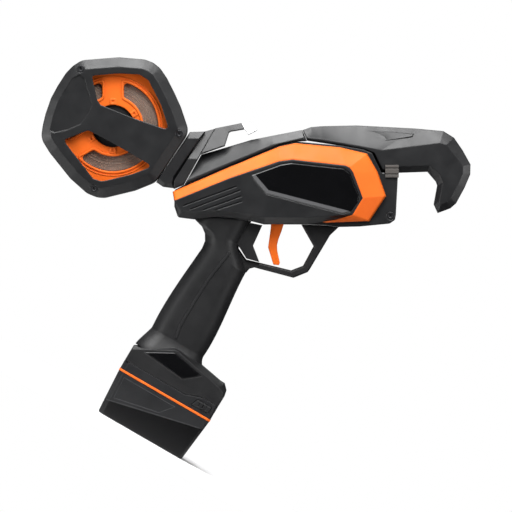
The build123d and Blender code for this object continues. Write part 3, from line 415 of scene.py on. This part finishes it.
def ridge(
    name, path, width, height, surface, slot, body, side=RIGHT, place=body_point, closed=False,
    passes=2, spacing=0.8, sink=0.25, depth=None,
):
    """Raised bead that follows a line over a surface, or at one depth."""
    line = relax(resample(path, spacing, closed), passes, closed)
    shoulder = min(0.35, width * 0.25)
    offsets = (
        (-width / 2, -sink), (-width / 2, 0), (shoulder - width / 2, height),
        (width / 2 - shoulder, height), (width / 2, 0), (width / 2, -sink),
    )
    vertices = []
    last = depth if depth is not None else 0
    for i, point in enumerate(line):
        before = line[i - 1] if closed or i > 0 else point
        after = line[(i + 1) % len(line)] if closed or i < len(line) - 1 else point
        along = (after - before).normalized()
        across = Vector((-along.y, along.x))
        for offset, rise in offsets:
            spot = point + across * offset
            if depth is None:
                last = surface.depth(place, spot.x, spot.y, side, last)
            vertices.append(place(spot.x, spot.y, last + rise, side))
    ring = len(offsets)
    faces = []
    rows = len(line) if closed else len(line) - 1
    for row in range(rows):
        first, second = row * ring, ((row + 1) % len(line)) * ring
        for i in range(ring):
            j = (i + 1) % ring
            faces.append((first + i, first + j, second + j, second + i))
    if not closed:
        faces.append(tuple(range(ring)))
        faces.append(tuple(range(len(vertices) - ring, len(vertices))))
    return make_mesh(name, vertices, faces, slot, body)


def plate(
    name, outline, heights, surface, slot, body, side=RIGHT, place=body_point, bevel=0.5, sink=0.3,
):
    """Raised panel on one facet, with sloping edges and a height at each corner."""
    corners = [Vector(point) for point in outline]
    centre = sum(corners, Vector((0, 0))) / len(corners)
    turn = sum(a.x * b.y - b.x * a.y for a, b in zip(corners, corners[1:] + corners[:1]))
    inward = 1 if turn > 0 else -1
    inset = []
    for i, corner in enumerate(corners):
        a = (corner - corners[i - 1]).normalized()
        b = (corners[(i + 1) % len(corners)] - corner).normalized()
        mean = (Vector((-a.y, a.x)) + Vector((-b.y, b.x))).normalized()
        reach = bevel / max(0.35, mean.dot(Vector((-a.y, a.x))))
        inset.append(corner + mean * reach * inward)
    count = len(corners)
    rings = ((corners, [-sink] * count), (corners, [0] * count), (inset, heights))
    vertices = []
    middle = surface.depth(place, centre.x, centre.y, side, 0)
    for ring, rises in rings:
        for spot, rise in zip(ring, rises):
            found = surface.depth(place, spot.x, spot.y, side, middle)
            vertices.append(place(spot.x, spot.y, found + rise, side))
    faces = [tuple(range(count)), tuple(range(2 * count, 3 * count))]
    for row in (0, count):
        for i in range(count):
            j = (i + 1) % count
            faces.append((row + i, row + j, row + count + j, row + count + i))
    return make_mesh(name, vertices, faces, slot, body, smooth=False)


def both_sides(build, name, *values, **options):
    """The same piece on the right and on the left."""
    for side, word in SIDE_NAMES.items():
        build(f"{name}_{word}", *values, side=side, **options)


# ---------------------------------------------------------------- body detail

HOOK_SKIN = Surface("hook_shell_right", "hook_shell_left")
GRIP_SKIN = Surface("grip_right", "grip_left")
TUB_SKIN = Surface("battery_tub")

# Tongue on the hook arm, level with it at the rear and proud of it at its blunt front end
HOOK_TONGUE = [(173.2, 237.2), (195.2, 236.2), (208.3, 235), (212.8, 234.6), (211.4, 232.1), (189.7, 229)]
TONGUE_HEIGHTS = [-0.1, 0.35, 0.75, 0.9, 0.9, -0.1]
both_sides(plate, "hook_tongue", HOOK_TONGUE, TONGUE_HEIGHTS, HOOK_SKIN, "shell_grey", "tool", bevel=0.4)

GRIP_RIDGE = [(69.4, 142.7), (52.4, 120.9), (40.4, 101.7), (30.6, 84.8), (27.3, 75.7)]


def from_body(points):
    """Grip coordinates of points given in body coordinates."""
    found = []
    for forward, up in points:
        spot = FORWARD * forward + BODY_UP * up
        found.append((spot.x, spot.z))
    return found


both_sides(
    ridge, "grip_ridge", from_body(GRIP_RIDGE), 2.6, 0.5, GRIP_SKIN, "grip_black", "tool",
    place=grip_point, passes=4,
)

GLOSS_LINE = [(-37.5, 11.0), (-10, 17.3), (37.6, 28.1)]
both_sides(
    ridge, "battery_gloss_edge", GLOSS_LINE, 1.1, 0.25, TUB_SKIN, "battery_black", "battery",
    place=grip_point, passes=0,
)

# ---------------------------------------------------------------- reel detail

REEL_CENTRE = Vector((-21.5, 240.6))
REEL_FACE = 14.8
KIDNEY_OUTER = 35.1
KIDNEY_INNER = 23.7
SPOKE_HALF = 8.5
RING_RADIUS = 38.6
RIM_OFFSET = 1.1  # from an opening's edge to the middle of its bead
SPOKE_ANGLES = (90, 210, 330)


def arc(radius, start, end, steps):
    """Points on a circle about the reel's centre, between two angles in degrees."""
    turns = [radians(start + (end - start) * step / steps) for step in range(steps + 1)]
    return [REEL_CENTRE + Vector((cos(turn), sin(turn))) * radius for turn in turns]


def kidney(spoke, grow):
    """Outline of the opening after a spoke, grown all round."""
    outer, inner, half = KIDNEY_OUTER + grow, KIDNEY_INNER - grow, SPOKE_HALF - grow
    outer_turn = degrees(asin(half / outer))
    inner_turn = degrees(asin(half / inner))
    far = arc(outer, spoke + outer_turn, spoke + 120 - outer_turn, 24)
    near = arc(inner, spoke + 120 - inner_turn, spoke + inner_turn, 18)
    return far + near


def reel_trim():
    """Raised rims on the flanges: a ring near the edge and a bead round each opening."""
    for side, word in SIDE_NAMES.items():
        ridge(
            f"reel_ring_{word}", arc(RING_RADIUS, 0, 355, 71), 1.2, 0.5, None, "orange", "reel",
            side=side, closed=True, depth=REEL_FACE, passes=0,
        )
        for number, spoke in enumerate(SPOKE_ANGLES):
            ridge(
                f"reel_rim_{word}_{number}", kidney(spoke, RIM_OFFSET), 2.0, 0.8, None, "orange",
                "reel", side=side, closed=True, depth=REEL_FACE, passes=6,
            )


def winding():
    """Tie wound on the reel: its edges show as uneven rings on both faces."""
    chance = Random(7)
    turns, inner, outer, half = 16, 18.6, 37.4, 12.3
    step = (outer - inner) / turns
    profile = [(inner, half - 0.8)]
    for turn in range(turns):
        start = inner + turn * step
        rise = half - 0.5 + chance.uniform(-0.2, 0.2)
        profile += [(start + 0.15, rise - 0.3), (start + 0.35, rise), (start + step - 0.2, rise)]
    profile.append((outer, half - 0.9))
    loop = profile + [(radius, -depth) for radius, depth in reversed(profile)]
    segments = 96
    vertices, faces = [], []
    for segment in range(segments):
        turn = tau * segment / segments
        waver = 0.12 * sin(5 * turn) + 0.08 * sin(11 * turn + 1)
        for radius, depth in loop:
            spot = REEL_CENTRE + Vector((cos(turn), sin(turn))) * (radius + waver)
            vertices.append(body_point(spot.x, spot.y, depth))
    count = len(loop)
    for segment in range(segments):
        first, second = segment * count, ((segment + 1) % segments) * count
        for i in range(count):
            j = (i + 1) % count
            faces.append((first + i, first + j, second + j, second + i))
    piece = make_mesh("tie_winding_turns", vertices, faces, "tie_paper", "reel")
    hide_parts("tie_winding")


reel_trim()
winding()

# ---------------------------------------------------------------- floor, lights and camera

LOOK_AT = Vector((0.0079, 0, 0.1657))  # middle of the view
VIEW_WIDTH = 0.3994  # width of the view at the tool's middle plane, metres
LENS = 400  # millimetres, long enough that the near case looks no larger than the far one
SENSOR = 36
FLOOR_HALF = 0.5
FADE_START, FADE_END = 0.05, 0.30  # distances over which the floor fades out, metres


def floor():
    """Pale floor under the tool, which fades into the white surround."""
    material = bpy.data.materials.new("studio_floor")
    material.use_nodes = True
    tree = material.node_tree
    shader = tree.nodes["Principled BSDF"]
    shader.inputs["Roughness"].default_value = 0.9
    shader.inputs["Specular IOR Level"].default_value = 0.1
    tone = spread(tree, noise(tree, 3, 2.0), 0, 1)
    link(tree, blend_colours(tree, tone, (0.90, 0.90, 0.90), (0.93, 0.93, 0.93)),
         shader.inputs["Base Color"])
    place = add_node(tree, "TexCoord")
    reach = tree.nodes.new("ShaderNodeVectorMath")
    reach.operation = "LENGTH"
    link(tree, place.outputs["Object"], reach.inputs[0])
    link(tree, spread(tree, reach.outputs["Value"], 1, 0, FADE_START, FADE_END), shader.inputs["Alpha"])
    mesh = bpy.data.meshes.new("studio_floor")
    corners = [(x * FLOOR_HALF, y * FLOOR_HALF, 0) for x, y in ((-1, -1), (1, -1), (1, 1), (-1, 1))]
    mesh.from_pydata(corners, [], [(0, 1, 2, 3)])
    mesh.materials.append(material)
    ground = bpy.data.objects.new("studio_floor", mesh)
    ground.location.z = cad_box[0].z - 0.0002
    bpy.context.scene.collection.objects.link(ground)


def softbox(name, direction, distance, width, height, power):
    """Area light that faces the tool from a direction."""
    data = bpy.data.lights.new(name, "AREA")
    data.shape = "RECTANGLE"
    data.size = width
    data.size_y = height
    data.energy = power
    lamp = bpy.data.objects.new(name, data)
    away = direction.normalized()
    lamp.location = LOOK_AT + away * distance
    lamp.rotation_euler = away.to_track_quat("Z", "Y").to_euler()
    bpy.context.scene.collection.objects.link(lamp)


def sky():
    """White studio surround, dimmer where it only lights the tool."""
    world = bpy.data.worlds.new("studio")
    bpy.context.scene.world = world
    world.use_nodes = True
    tree = world.node_tree
    backdrop = tree.nodes["Background"]
    backdrop.inputs["Color"].default_value = (1, 1, 1, 1)
    backdrop.inputs["Strength"].default_value = 1.0
    surround = add_node(tree, "Background", Color=(0.92, 0.95, 1, 1), Strength=0.07)
    seen = add_node(tree, "LightPath")
    mix = add_node(tree, "MixShader")
    link(tree, seen.outputs["Is Camera Ray"], mix.inputs[0])
    link(tree, surround.outputs[0], mix.inputs[1])
    link(tree, backdrop.outputs[0], mix.inputs[2])
    link(tree, mix.outputs[0], tree.nodes["World Output"].inputs["Surface"])


def camera():
    """Side view from the right, rolled so that the body axis lies level."""
    data = bpy.data.cameras.new("camera")
    data.lens = LENS
    data.sensor_width = SENSOR
    eye = bpy.data.objects.new("camera", data)
    eye.location = LOOK_AT + Vector((0, -1, 0)) * (VIEW_WIDTH * LENS / SENSOR)
    eye.rotation_euler = (pi / 2, -PITCH, 0)
    bpy.context.scene.collection.objects.link(eye)
    bpy.context.scene.camera = eye


floor()
sky()
TOWARDS_EYE = Vector((0, -1, 0))
softbox("top_light", BODY_UP + TOWARDS_EYE * 0.45, 1.1, 1.3, 0.6, 21)
softbox("back_top_light", BODY_UP - TOWARDS_EYE * 0.6, 1.1, 1.2, 0.5, 10)
softbox("front_high_light", TOWARDS_EYE + BODY_UP * 1.1, 1.4, 1.6, 0.5, 14)
softbox("front_left_light", TOWARDS_EYE - FORWARD * 1.5, 1.4, 0.4, 1.0, 9)
softbox("front_right_light", TOWARDS_EYE + FORWARD * 1.5, 1.4, 0.4, 1.0, 7)
camera()
bpy.context.scene.view_settings.view_transform = "Standard"
